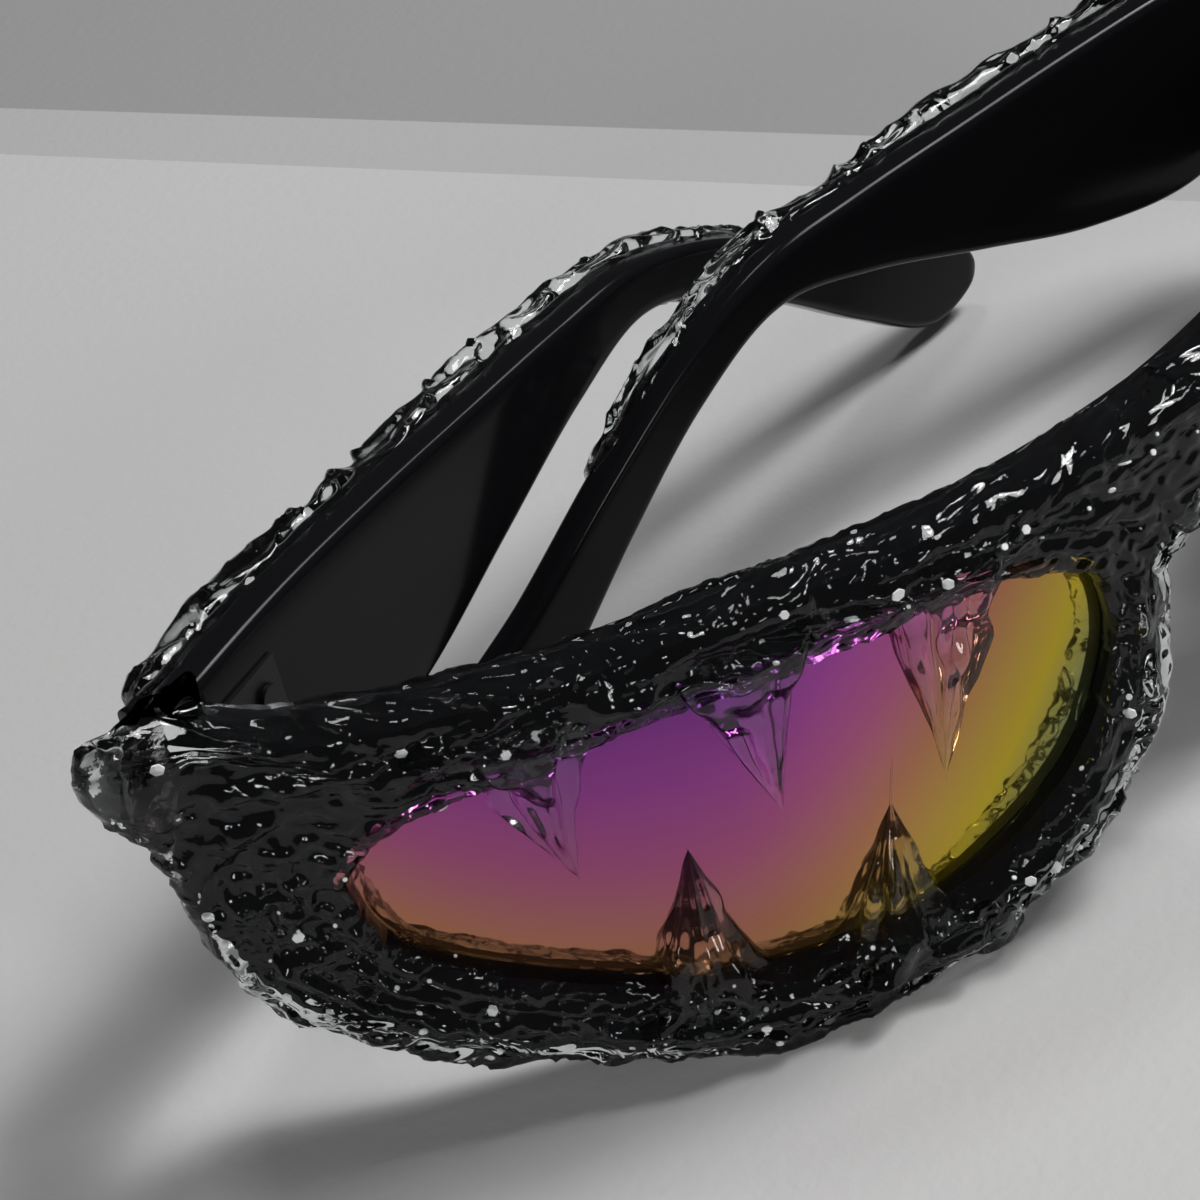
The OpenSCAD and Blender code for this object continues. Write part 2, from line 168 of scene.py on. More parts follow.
# Lenses. Tinted plastic 2 mm thick with a mirror coat, snapped into a groove. The coat
# turns from violet at the top through pink and orange to yellow beside the nose.
lens_w, lens_h, lens_z = 56.0, 23.4, 16.752
lens_front = front_r - 1.2
violet, magenta, rose = (0.21, 0.045, 0.28, 1), (0.34, 0.066, 0.31, 1), (0.42, 0.103, 0.23, 1)
orange, yellow, teal = (0.46, 0.19, 0.105, 1), (0.53, 0.4, 0.03, 1), (0.07, 0.18, 0.16, 1)
smoke = (0.012, 0.01, 0.011, 1)
hue_start, hue_by_height, hue_by_nose, hue_by_side = 0.27, -0.3, 0.62, 0.3
coat_metal, coat_rough, coat_turn = 0.9, 0.06, 0.15


def mirror_coat():
    """Colour by place: s falls with height and grows towards the nose and the outer end, and a
    ramp turns it to colour. Faces that look back show the smoky plastic without the coat."""
    material = bpy.data.materials.new("mirror_coat")
    material.use_nodes = True
    new, link = material.node_tree.nodes.new, material.node_tree.links.new
    shader = material.node_tree.nodes["Principled BSDF"]
    place, split = new("ShaderNodeTexCoord"), new("ShaderNodeSeparateXYZ")
    ramp, coat = new("ShaderNodeValToRGB"), new("ShaderNodeMix")
    link(place.outputs["Object"], split.inputs[0])

    def sum_of(operation, a, b, c=0.0):
        """A Math node on sockets or plain numbers."""
        step = new("ShaderNodeMath")
        step.operation = operation
        for socket, value in zip(step.inputs, (a, b, c)):
            if isinstance(value, (int, float)):
                socket.default_value = value
            else:
                link(value, socket)
        return step.outputs[0]

    half = lens_w / 2 * mm
    sideways, backways = np.cos(wrap) / half, np.sin(wrap) / half
    side = sum_of("ABSOLUTE", split.outputs["X"], 0)
    along = sum_of("MULTIPLY_ADD", split.outputs["Y"], backways, -front_r * mm * backways)
    along = sum_of("MULTIPLY_ADD", side, sideways, along)
    height = sum_of("MULTIPLY_ADD", split.outputs["Z"], 2 / (lens_h * mm), -2 * lens_z / lens_h)
    nasal = sum_of("MAXIMUM", sum_of("MULTIPLY_ADD", along, -1.0, 0.05), 0.0)
    nasal = sum_of("POWER", nasal, 1.5)
    outer = sum_of("POWER", sum_of("MAXIMUM", along, 0.0), 2.0)
    hue = sum_of("MULTIPLY_ADD", height, hue_by_height, hue_start)
    hue = sum_of("MULTIPLY_ADD", outer, hue_by_side, hue)
    link(sum_of("MULTIPLY_ADD", nasal, hue_by_nose, hue), ramp.inputs["Fac"])
    stops = ramp.color_ramp.elements
    stops[0].position, stops[0].color = 0.0, violet
    stops[1].position, stops[1].color = 1.0, teal
    for position, colour in ((0.17, magenta), (0.33, rose), (0.5, orange), (0.76, yellow)):
        stops.new(position).color = colour
    # a Mix node set to colour takes its factor in 0, its colours in 6 and 7, and gives 2
    coat.data_type = "RGBA"
    link(effect(material, looking_back, -coat_turn, coat_turn, 0.0, 1.0)["Value"], coat.inputs[0])
    link(ramp.outputs["Color"], coat.inputs[6])
    coat.inputs[7].default_value = smoke
    link(coat.outputs[2], shader.inputs["Base Color"])
    metal = effect(material, looking_back, -coat_turn, coat_turn, coat_metal, 0.0)
    link(metal["Value"], shader.inputs["Metallic"])
    shader.inputs["Roughness"].default_value = coat_rough
    return material


mirror = mirror_coat()
for side in ("left", "right"):
    dress(node[side + "_lens"], mirror)


# Ice on the front. Clear casting resin poured and combed over the frame by hand: a skin
# 1 to 2 mm thick that laps the lens edge, wrinkled along the rim, with lumps at the ends.
rim_top, rim_bottom, rim_nasal, rim_outer = 3.5, 4.2, 3.3, 8.5
top_z = lens_z + lens_h / 2 + rim_top
bridge_top, bridge_h, nose_w = top_z - rim_top * 0.4, 6.4, 20.0
end_top, end_h, end_y = top_z - rim_top * 0.23, 10.6, 34.0
coat_t, coat_edge, coat_lap, ridge_t = 1.6, 1.2, 1.0, 0.6
outline = np.array([
    [0.95, 0.16], [0.92, 0.48], [0.77, 0.71], [0.36, 0.93], [-0.13, 1], [-0.6, 0.95], [-0.9, 0.77],
    [-1.01, 0.45], [-0.99, -0.05], [-0.8, -0.6], [-0.4, -0.97], [0.06, -0.98], [0.5, -0.68],
    [0.85, -0.28],
])


def closed_curve(points, n):
    """Catmull-Rom curve through a closed ring of points, n samples on each span."""
    a, b, c, d = (np.roll(points, shift, 0)[:, None] for shift in (1, 0, -1, -2))
    t = np.linspace(0, 1, n, endpoint=False)[None, :, None]
    curve = 2 * b + (c - a) * t + (2 * a - 5 * b + 4 * c - d) * t**2 + (3 * b - a - 3 * c + d) * t**3
    return 0.5 * curve.reshape(-1, points.shape[1])


def outward(curve):
    """Unit normal of an anticlockwise closed curve, from the chord of each point's neighbours."""
    chord = np.roll(curve, -1, 0) - np.roll(curve, 1, 0)
    return np.column_stack([chord[:, 1], -chord[:, 0]]) / np.linalg.norm(chord, axis=1)[:, None]


def reach(ring, centre, heading):
    """How far a ray from the centre goes to the last edge of a closed ring that it crosses."""
    a, b = ring - centre, np.roll(ring, -1, 0) - centre
    edge, tiny, slack = b - a, 1e-9, 1e-6
    cross = heading[:, :1] * edge[:, 1] - heading[:, 1:] * edge[:, 0]
    cross = np.where(np.abs(cross) < tiny, tiny, cross)
    far = (a[:, 0] * edge[:, 1] - a[:, 1] * edge[:, 0]) / cross
    along = (a[:, 0] * heading[:, 1:] - a[:, 1] * heading[:, :1]) / cross
    return np.where((far > 0) & (along >= -slack) & (along <= 1 + slack), far, 0).max(1)


def on_front(p, z, r):
    """Point at p along the lens and height z on the leaning cylinder of radius r: the ray
    straight out of the lens plane is solved with the cylinder, (x, y cos lean - z sin lean)."""
    c, s, tip = np.cos(wrap), np.sin(wrap), np.cos(lean)
    shift = (p * s - z * np.tan(lean)) * tip
    square = s**2 + (tip * c) ** 2
    line = p * c * s - shift * c * tip
    rest = (p * c) ** 2 + shift**2 - r**2
    d = (-line + np.sqrt(line**2 - square * rest)) / square
    return np.stack([p * c + d * s, front_r + p * s - d * c, z + 0 * d], -1)


def smooth_step(t):
    """0 below 0, 1 above 1, level at both."""
    t = np.clip(t, 0, 1)
    return t * t * (3 - 2 * t)


def lumps(points, size, seed):
    """Smooth random height, 0 to 1: hashed values on a lattice of that size, blended smoothly."""
    cell = np.floor(points / size).astype(np.int64)
    f = smooth_step(points / size - cell)
    total = 0.0
    for corner in np.ndindex(2, 2, 2):
        h = (cell + np.array(corner)) * np.array([73856093, 19349663, 83492791])
        h = np.bitwise_xor.reduce(h, axis=-1) ^ (seed * 668265263)
        for shift, factor in ((13, 1274126177), (16, 2246822519)):
            h = (h ^ (h >> shift)) * factor & 0xFFFFFFFF
        total = total + np.prod(np.where(corner, f, 1 - f), -1) * ((h >> 8) & 0xFFFF) / 0xFFFF
    return total


def ridges(points, size, seed):
    """Sharp crests where the smooth random height passes its middle."""
    return 1 - np.abs(2 * lumps(points, size, seed) - 1)


lens_ring = closed_curve(outline * [lens_w / 2, lens_h / 2] + [0, lens_z], 8)
lens_out = outward(lens_ring)
rim_wide = np.where(lens_out[:, 1] > 0, rim_top, rim_bottom) * lens_out[:, 1] ** 2
rim_wide = rim_wide + np.where(lens_out[:, 0] > 0, rim_outer, rim_nasal) * lens_out[:, 0] ** 2
rim_ring = lens_ring + rim_wide[:, None] * lens_out
end_ring = np.array([
    [lens_w * 0.3, lens_z], [27.4, 9.5], [31.3, 12.7], [33.2, 15.4], [34.8, 18.0], [35.6, 20.6],
    [35.8, 24.0], [36.8, 26.8], [38.6, 28.6], [39.9, 31.0], [39.9, 33.8], [38.4, 35.3], [35.8, 34.4],
    [33.1, end_top], [lens_w * 0.1, top_z - 0.7],
])
nose_p, nose_z = front_r * np.sin(wrap), lens_z - lens_h * 0.2
arch = np.radians(np.arange(90, -1, -6))
bridge_ring = np.vstack([
    [[-lens_w * 0.38, nose_z], [-lens_w * 0.22, top_z - rim_top * 0.14], [-nose_p - 3, bridge_top],
     [-nose_p - 3, bridge_top - bridge_h]],
    np.column_stack([nose_w / 2 * np.cos(arch) - nose_p,
                     nose_z + (bridge_top - bridge_h - nose_z) * np.sin(arch)]),
])
combed = np.array([
    [-0.79, 1.1, -0.32, 1.18], [-0.21, 1.15, 0.29, 1.13], [0.39, 1.1, 0.86, 1.01],
    [0.79, 1.13, 1.18, 1.08], [1.04, 0.87, 1.2, 0.79], [1.02, 0.45, 1.2, 0.28],
    [1, -0.02, 1.16, -0.19], [0.46, -0.9, 0.86, -0.61], [0, -1.16, 0.39, -1.04],
    [-0.5, -1.14, -0.11, -1.18], [-0.87, -0.62, -0.57, -1.06], [-1.06, -0.4, -1.08, 0.45],
]) * np.array([lens_w, lens_h, lens_w, lens_h]) / 2 + [0, lens_z, 0, lens_z]


def ridge_height(p, z):
    """Height of the main ridges: a bell across each line from end to end, level along it."""
    total, wide, fade = 0.0, 0.65, 0.8
    for p0, z0, p1, z1 in combed:
        run = np.hypot(p1 - p0, z1 - z0)
        along = ((p - p0) * (p1 - p0) + (z - z0) * (z1 - z0)) / run
        aside = ((p - p0) * (z1 - z0) - (z - z0) * (p1 - p0)) / run
        gone = np.maximum(np.maximum(-along, along - run) + fade, 0)
        total = np.maximum(total, np.exp(-((aside / wide) ** 2) - (gone / fade) ** 2))
    return ridge_t * total


def bell(p, z, middle, radii):
    """1 at the middle, falling off as a bell with those two radii."""
    return np.exp(-(((p - middle[0]) / radii[0]) ** 2) - ((z - middle[1]) / radii[1]) ** 2)


def ice_profile():
    """Profile of the skin as rows of (share of the way from lens edge to outer edge, mm past it,
    height over the frame's face): up from the lens, over the face, round the outer edge, down the
    flank and back inside the frame. With it come how far the relief lifts each row off the face
    and how far it spreads the row outwards."""
    sink, round_in, edge_r, edge_drop = 1.3, 0.5, 1.3, 2.0
    up, off = np.linspace(0, np.pi / 2, 8), np.linspace(0, np.pi / 2, 12)
    face, flank = np.linspace(0, 1, 34)[1:-1], np.linspace(-0.6, -2.8, 8)
    tuck = np.array([[1, coat_edge * 0.5, -3.0], [1, -0.4, -3.0], [1, -0.5, -0.5], [0.5, 0, -0.4],
                     [0.02, 0.4, -0.4], [0.01, 0.3, -sink], [0, -0.5, -1.35]])
    profile = np.vstack([
        np.column_stack([0 * up, -1 + (1 + round_in) * (1 - np.cos(up)),
                         -sink + (coat_t + sink) * np.sin(up)]),
        np.column_stack([face, round_in * (1 - face) + (coat_edge - edge_r) * face, 0 * face + coat_t]),
        np.column_stack([1 + 0 * off, coat_edge - edge_r + edge_r * np.sin(off),
                         coat_t - edge_drop * (1 - np.cos(off))]),
        np.column_stack([1 + 0 * flank, coat_edge + 0 * flank, flank]),
        tuck,
    ])
    lift = np.concatenate([np.sin(up) ** 0.7, 0 * face + 1, np.cos(off) ** 0.6,
                           np.zeros(len(flank) + len(tuck))])
    spread = np.concatenate([-0.3 * np.sin(2 * up), 0 * face, np.sin(off) ** 0.7,
                             np.linspace(1, 0.7, len(flank)), [0.3], np.zeros(len(tuck) - 1)])
    return *profile.T, lift, spread


def ice_half(seed):
    """Closed skin over half the front: rays from the middle of the lens carry the profile. Combed
    strands round the lens, swells, pebbles, beads and the main ridges raise it, and the end of the
    front swells as a whole into a tail, a wing above and a knob below."""
    turn_by = np.linspace(0, 2 * np.pi, 640, endpoint=False)
    heading = np.column_stack([np.cos(turn_by), 0.5 * np.sin(turn_by)])
    heading /= np.linalg.norm(heading, axis=1)[:, None]
    centre = np.array([0, lens_z])
    inner = reach(lens_ring, centre, heading)
    outer = np.max([reach(ring, centre, heading) for ring in (rim_ring, end_ring, bridge_ring)], 0)
    reach_by, blur_by = 9, 2.5
    blur = np.exp(-0.5 * (np.arange(-reach_by, reach_by + 1) / blur_by) ** 2)
    outer = np.concatenate([outer[-reach_by:], outer, outer[:reach_by]])
    outer = np.convolve(outer, blur / blur.sum(), "valid")
    share, past, height, lift, spread = ice_profile()
    slant = [np.sum(outward(heading * far[:, None]) * heading, 1) for far in (inner, outer)]
    slant = [np.clip(one, 0.35, 1)[:, None] for one in slant]
    slant = slant[0] * (1 - share) + slant[1] * share
    lap = coat_lap * (0.75 + 0.35 * np.sin(turn_by) + 0.25 * np.cos(turn_by))[:, None]
    past = np.where((share == 0) & (past < 0), past * lap, past)
    rho = inner[:, None] + share * (outer - inner)[:, None] + past / slant
    p, z = heading[:, :1] * rho, lens_z + heading[:, 1:] * rho

    round_lens, deep = 5, 1.2 * height
    flat = np.stack([p, z, deep + 50 + 0 * p], -1)
    sway = 1.6 * (lumps(flat, 3.0, seed + 7) - 0.5)
    strand = np.stack([round_lens * np.cos(turn_by)[:, None] + 0 * rho,
                       round_lens * np.sin(turn_by)[:, None] + 0 * rho,
                       rho - inner[:, None] + 40 + deep + sway], -1)
    # each layer is its height in mm times relief less its level, on a lattice of its size:
    # strands, swells, fine strands, pebbles, beads, then the main ridges
    rise = 0.85 * (ridges(strand, 1.5, seed) - 0.6)
    rise += 0.8 * (lumps(flat, 3.0, seed + 1) - 0.45)
    rise += 0.5 * (ridges(strand * [2, 2, 1.6], 1.2, seed + 2) - 0.55)
    rise += 0.4 * (ridges(flat, 0.8, seed + 3) - 0.55)
    rise += 1.35 * np.clip(lumps(flat, 1.1, seed + 5) - 0.8, 0, 1)
    rise += 1.2 * ridge_height(p + 0.4 * sway, z + 0.3 * sway) - 0.1

    # the end of the front, in mm along the lens and mm up
    tail = smooth_step((p - 32.5) / 3.5) * smooth_step((z - 11) / 4)
    wing = bell(p, z, (38.0, 31.6), (3.2, 3.0))
    knob = bell(p, z, (36.4, 16.6), (1.8, 1.9))
    calm = tail + 1.7 * wing + 0.5 * knob
    rise = rise * (1 - 0.75 * np.minimum(wing + 0.15 * tail, 1))
    rho = rho + np.clip(rise + 0.4 * wing, -0.6, 0.9) * spread / slant
    p, z = heading[:, :1] * rho, lens_z + heading[:, 1:] * rho
    r = front_r + height + (rise + calm) * lift
    # no point passes the plane of the temple's butt end, which a swollen end may overhang
    back = end_y - 0.05 + 2.2 * smooth_step(height + calm * lift - 2.2) - front_r
    stop = np.sqrt(r**2 - (back * np.cos(lean) - z * np.sin(lean)) ** 2)
    points = on_front(np.minimum(p, stop * np.cos(wrap) + back * np.sin(wrap)), z, r)
    points[..., 0] = np.maximum(points[..., 0], 0)
    points[..., 2] = np.maximum(points[..., 2], 0.02)
    return points


def ring_faces(rows, columns, spans, first=0):
    """Quads between each ring of a grid and the next, for that many spans. With as many spans as
    rows, the last ring runs on to the first."""
    i, j = np.meshgrid(np.arange(spans), np.arange(columns), indexing="ij")
    here, there, beside = i * columns, (i + 1) % rows * columns, (j + 1) % columns
    return first + np.stack([here + j, here + beside, there + beside, there + j], -1).reshape(-1, 4)


def solid_piece(name, points, faces, material, body, slot, *stands_for):
    """Mesh object from points in mm; doubles are welded and the normals turned outwards."""
    mesh = bpy.data.meshes.new(name)
    points = np.asarray(points).reshape(-1, 3) * mm
    mesh.from_pydata(points.tolist(), [], [list(face) for face in faces])
    work = bmesh.new()
    work.from_mesh(mesh)
    bmesh.ops.remove_doubles(work, verts=work.verts, dist=0.004 * mm)
    bmesh.ops.dissolve_degenerate(work, edges=work.edges, dist=0.002 * mm)
    bmesh.ops.recalc_face_normals(work, faces=work.faces)
    work.to_mesh(mesh)
    work.free()
    mesh.shade_smooth()
    mesh.materials.append(material)
    piece = bpy.data.objects.new(name, mesh)
    bpy.context.scene.collection.objects.link(piece)
    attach(piece, body)
    if stands_for:
        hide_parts(*stands_for)
    return piece


def clear_resin():
    """Clear cast resin: full transmission, and a coarse and a fine ripple in its normal."""
    material = bpy.data.materials.new("clear_ice")
    material.use_nodes = True
    new, link = material.node_tree.nodes.new, material.node_tree.links.new
    shader = material.node_tree.nodes["Principled BSDF"]
    shader.inputs["Base Color"].default_value = (0.93, 0.96, 0.96, 1)
    shader.inputs["Transmission Weight"].default_value = 1.0
    shader.inputs["Roughness"].default_value = 0.03
    shader.inputs["IOR"].default_value = 1.4
    shader.inputs["Specular IOR Level"].default_value = 0.24
    place, last = new("ShaderNodeTexCoord"), None
    for scale, depth, strength in ((650, 0.12, 0.4), (1900, 0.03, 0.4)):
        ripple, bump = new("ShaderNodeTexNoise"), new("ShaderNodeBump")
        ripple.inputs["Scale"].default_value = scale
        ripple.inputs["Detail"].default_value = 3
        bump.inputs["Strength"].default_value = strength
        bump.inputs["Distance"].default_value = depth * mm
        link(place.outputs["Object"], ripple.inputs["Vector"])
        link(ripple.outputs["Fac"], bump.inputs["Height"])
        if last:
            link(last.outputs["Normal"], bump.inputs["Normal"])
        last = bump
    link(last.outputs["Normal"], shader.inputs["Normal"])
    return material


resin = clear_resin()
left_ice, right_ice = ice_half(3), ice_half(11) * [-1, 1, 1]
rows, columns = left_ice.shape[:2]
ice_points = np.vstack([left_ice.reshape(-1, 3), right_ice.reshape(-1, 3)])
ice_quads = np.vstack([ring_faces(rows, columns, rows, first) for first in (0, rows * columns)])
# the halves meet at x = 0, and the walls between them are left out
between = np.all(np.abs(ice_points[ice_quads][..., 0]) < 1e-6, axis=1)
front_ice = solid_piece("front_ice_skin", ice_points, ice_quads[~between], resin,
                        "front", "clear_ice", "front_ice")


# Icicles. Drawn out of the same resin while it set: three hang from the upper edge of
# each lens and two rise from the lower, fluted, flat against the lens, ending in a hair.
# Each row is a place across the lens, up or down, a share of the length, a lean and a hair.
icicle_len, icicle_r, icicle_root = 13.2, 3.1, 1.5
icicles = [[0.49, 1, 0.77, -0.16, 1.0], [-0.06, 1, 0.83, -0.05, 2.4], [-0.61, 1, 1, 0.22, 1.0],
           [0.22, -1, 0.7, -0.16, 0.5], [-0.29, -1, 0.57, -0.14, 3.6]]


def icicle(place, way, share, lean_by, hair, seed):
    """Tapered tube on the lens: along it the radius falls from a fanned root to a hair, round it
    sharp flutes run lengthwise, knots swell it, and the side towards the lens is flat."""
    t = np.linspace(0, 1, 90)[:, None]
    round_by = np.linspace(0, 2 * np.pi, 72, endpoint=False)[None]
    p0 = place * lens_w / 2
    near = (np.abs(lens_ring[:, 0] - p0) < 3) & (way * (lens_ring[:, 1] - lens_z) > 0)
    z0 = lens_ring[near, 1].max() if way > 0 else lens_ring[near, 1].min()
    length = share * icicle_len + coat_lap + icicle_root
    body = length / (length + hair)
    taper = np.clip(1 - t / body, 0, 1)
    radius = 0.09 * np.clip((1 - t) * 9, 0, 1) + 1.35 * icicle_r * taper
    fan = 1 + 0.5 * np.exp(-t / body * 9)
    fold = np.abs(np.cos(2.5 * round_by + seed + 0.8 * t)) ** 0.8 - 0.62
    fold = (0.32 * fold + 0.1 * np.cos(9 * round_by - 2 * seed + 2 * t)) * taper**0.25
    knots = np.stack([2.5 * np.cos(round_by) + 9 * seed + 0 * t,
                      2.5 * np.sin(round_by) + 30 + 0 * t, 10 * t + 0 * round_by], -1)
    fold = fold + 0.55 * (lumps(knots, 1.3, 40) - 0.5) * taper**0.2
    wander = 0.25 * np.sin(4 * t + seed) * t
    wide = radius * fan * (1 + fold) * np.cos(round_by)
    p = p0 + lean_by * icicle_len * t / body + wander + wide
    z = z0 + way * icicle_root - way * t * (length + hair) + 0 * round_by
    up = np.maximum(radius * (1 + fold) * np.sin(round_by) * 0.9 + 0.15 * taper, -0.12)
    return on_front(p, z, lens_front + up + 0 * p)


def tube_faces(rows, columns, first=0):
    """Quads along a tube of rings, with its two ends closed."""
    end = first + np.arange(columns)
    walls = ring_faces(rows, columns, rows - 1, first)
    return walls.tolist() + [end.tolist(), (end + (rows - 1) * columns).tolist()]


for side, sign in (("left", 1), ("right", -1)):
    tubes = [icicle(*row, seed=n * 1.7 + sign) for n, row in enumerate(icicles)]
    tubes = np.array(tubes) * [sign, 1, 1]
    count, rows, columns = tubes.shape[:3]
    faces = sum((tube_faces(rows, columns, n * rows * columns) for n in range(count)), [])
    solid_piece(side + "_icicle_drops", tubes, faces, resin, "front", "clear_ice", side + "_icicles")


# Temples. Black mouldings, flat and deep at the hinge, waisted over the ear and ending in
# a paddle, each held by a riveted hinge leaf. Their inner faces are bare, polished and plain.
temple_len, ear_u, temple_h, neck_h, tip_h = 101.5, 65.0, 18.4, 4.2, 7.6
temple_t, tip_t, bow_r, temple_edge = 4.0, 2.8, 400.0, 0.9
barrel_r, barrel_h, screw_head, leaf_sink = 1.7, 7.6, 0.7, 0.7
end_gap, over_open = 0.35, np.radians(8)
left_fold, right_fold = np.radians(79.5), np.radians(70.5)
temple_in, setback = barrel_r - leaf_sink, barrel_r + 0.7
hinge_z = end_top - end_h / 2 - 0.2
wall_y = (front_r + hinge_z * np.tan(lean) - end_y) * np.cos(lean)
wall_x = np.sqrt((front_r - front_t) ** 2 - wall_y**2)
wall_a = np.arctan2(wall_x, wall_y)
hinge = np.array([wall_x + setback * np.cos(wall_a) - temple_in * np.sin(wall_a),
                  end_y + setback * np.sin(wall_a) + temple_in * np.cos(wall_a), hinge_z])
temple_top = end_top + 0.2
# blade: share of the way to the ear, mm below the top, share of the full depth;
# hook: share of the way on to the tip, share of the drop, share of the paddle
blade = np.array([[-0.2, 0.2, 0.5], [0.06, 0, 0.7], [0.22, 0.1, 1], [0.4, 0.7, 0.87],
                  [0.58, 1.4, 0.55], [0.76, 1.9, 0.22], [0.91, 2.6, 0.03]])
hook = np.array([[0.1, 0.16, 0.12], [0.36, 0.42, 0.38], [0.63, 0.72, 0.7], [0.88, 0.94, 1]])
hook_len, neck_top, hook_top = temple_len - ear_u, temple_top - blade[-1, 1], tip_h * 1.1
hook_u, hook_z = ear_u + hook[:, 0] * hook_len, neck_top + (hook_top - neck_top) * hook[:, 1]
blade_u, blade_z = blade[:, 0] * ear_u, temple_top - blade[:, 1]
blade_low = blade_z - neck_h - (temple_h - neck_h) * blade[:, 2]
hook_low = np.maximum(0, hook_z - 1.1 * (neck_h + (tip_h - neck_h) * hook[:, 2]))
upper_edge = np.vstack([np.column_stack([blade_u, blade_z]), np.column_stack([hook_u, hook_z])])
lower_edge = np.vstack([np.column_stack([blade_u, blade_low]),
                        np.column_stack([hook_u - 2.2 * hook[:, 2], hook_low])])
tip = [[temple_len, tip_h * 0.45]]
span = 14
edge_ring = closed_curve(np.vstack([lower_edge, tip, upper_edge[::-1]]), span)
spans = len(lower_edge) * span
low_line, high_line = edge_ring[:spans + 1], edge_ring[spans:2 * spans + 1][::-1]
keep = low_line[:, 0] > -setback - 0.5
low_line, high_line = low_line[keep], high_line[keep]
bow_in = bow_r - np.sqrt(bow_r**2 - temple_len**2)
bow_w = bow_in - tip_t / np.sqrt(1 - (temple_len / bow_r) ** 2) + temple_t
outer_r = (temple_len**2 + bow_w**2) / (2 * bow_w)


def inner_face(u):
    """Inner face of the temple: an arc of the bow radius."""
    return temple_in - bow_r + np.sqrt(bow_r**2 - u**2)


def outer_face(u):
    """Outer face: a tighter arc, so that the temple thins towards the tip."""
    return temple_in + temple_t - outer_r + np.sqrt(outer_r**2 - u**2)


def butt_end(x, gap):
    """Where the temple must begin at each x, so that it clears the front when it is over-opened."""
    return (gap - setback + x * np.sin(over_open)) / np.cos(over_open)


def rounded_box(w, h, r, n=6, steps=(8, 2, 8, 2)):
    """Ring of a box 2w by 2h whose corners are arcs of radius r, for arrays of w, h and r. Each side
    after an arc is split into its own number of steps."""
    arc = np.linspace(0, np.pi / 2, n)
    arcs = []
    for quarter, (sx, sy) in enumerate(((1, 1), (-1, 1), (-1, -1), (1, -1))):
        a = arc + quarter * np.pi / 2
        arcs.append(np.stack([sx * (w - r)[:, None] + r[:, None] * np.cos(a),
                              sy * (h - r)[:, None] + r[:, None] * np.sin(a)], -1))
    ring = []
    for quarter, count in enumerate(steps):
        t = np.linspace(0, 1, count + 1)[None, 1:-1, None]
        start, end = arcs[quarter], arcs[(quarter + 1) % 4]
        ring += [start, start[:, -1:] * (1 - t) + end[:, :1] * t]
    return np.concatenate(ring, 1)


def stored(points, side):
    """Carries a temple from its own frame, hinge at 0 and open along Y, to the folded pose."""
    fold = left_fold if side == "left" else right_fold
    turned = np.stack([points[..., 0] * np.cos(fold) - points[..., 1] * np.sin(fold) + hinge[0],
                       points[..., 0] * np.sin(fold) + points[..., 1] * np.cos(fold) + hinge[1],
                       points[..., 2]], -1)
    return turned * ([1, 1, 1] if side == "left" else [-1, 1, 1])


def temple_points():
    """Rounded boxes from the lower edge to the upper edge, carried along the temple."""
    across = high_line - low_line
    depth = np.linalg.norm(across, axis=1)
    across = across / np.maximum(depth, 1e-6)[:, None]
    thick = (outer_face(low_line[:, 0]) - inner_face(low_line[:, 0])) / 2
    end = np.clip((temple_len - low_line[:, 0]) / 2.0, 0, 1)
    thick = thick * np.sqrt(1 - (1 - end) ** 2 * 0.8)
    half = np.maximum(depth / 2, 0.05)
    ring = rounded_box(half, thick, np.minimum(temple_edge, 0.9 * np.minimum(half, thick)))
    middle = (low_line + high_line) / 2
    u = middle[:, :1] + across[:, :1] * ring[..., 0]
    z = middle[:, 1:] + across[:, 1:] * ring[..., 0]
    x = (inner_face(u) + outer_face(u)) / 2 + ring[..., 1]
    return np.stack([x, np.maximum(u, butt_end(x, end_gap)), np.maximum(z, 0)], -1)


def cut_out(piece, points, faces):
    """Takes the closed mesh of the points, in mm, out of the piece."""
    mesh = bpy.data.meshes.new("cutter")
    mesh.from_pydata((points * mm).tolist(), [], faces)
    work = bmesh.new()
    work.from_mesh(mesh)
    bmesh.ops.recalc_face_normals(work, faces=work.faces)
    work.to_mesh(mesh)
    work.free()
    cutter = bpy.data.objects.new("cutter", mesh)
    bpy.context.scene.collection.objects.link(cutter)
    step = piece.modifiers.new("cut", "BOOLEAN")
    step.object, step.operation, step.solver = cutter, "DIFFERENCE", "EXACT"
    bpy.context.view_layer.update()
    whole, evaluated = piece.data, piece.evaluated_get(bpy.context.evaluated_depsgraph_get())
    piece.data = bpy.data.meshes.new_from_object(evaluated)
    piece.modifiers.clear()
    piece.data.name = piece.name
    bpy.data.objects.remove(cutter)
    bpy.data.meshes.remove(whole)


arm = temple_points()
room_r, room_sides = barrel_r + end_gap, 48
room_low, room_high = hinge_z - barrel_h / 2 - end_gap, hinge_z + barrel_h / 2 + screw_head + end_gap
around = np.linspace(0, 2 * np.pi, room_sides, endpoint=False)
room = np.stack([room_r * np.cos(around), room_r * np.sin(around), 0 * around], -1)
room = np.stack([room + [0, 0, room_low], room + [0, 0, room_high]])
for side in ("left", "right"):
    temple = solid_piece(side + "_temple_arm", stored(arm, side), tube_faces(*arm.shape[:2]),
                         black_gloss, side + "_arm", "black_plastic", side + "_temple")
    cut_out(temple, stored(room, side).reshape(-1, 3), tube_faces(2, room_sides))


# Ice on the temples. The same resin over the outer faces and the edges, from the hinge to
# past the ear, with small beads and points along the top.
ice_len, ice_start, ice_over = ear_u * 1.22, 0.2, 0.5


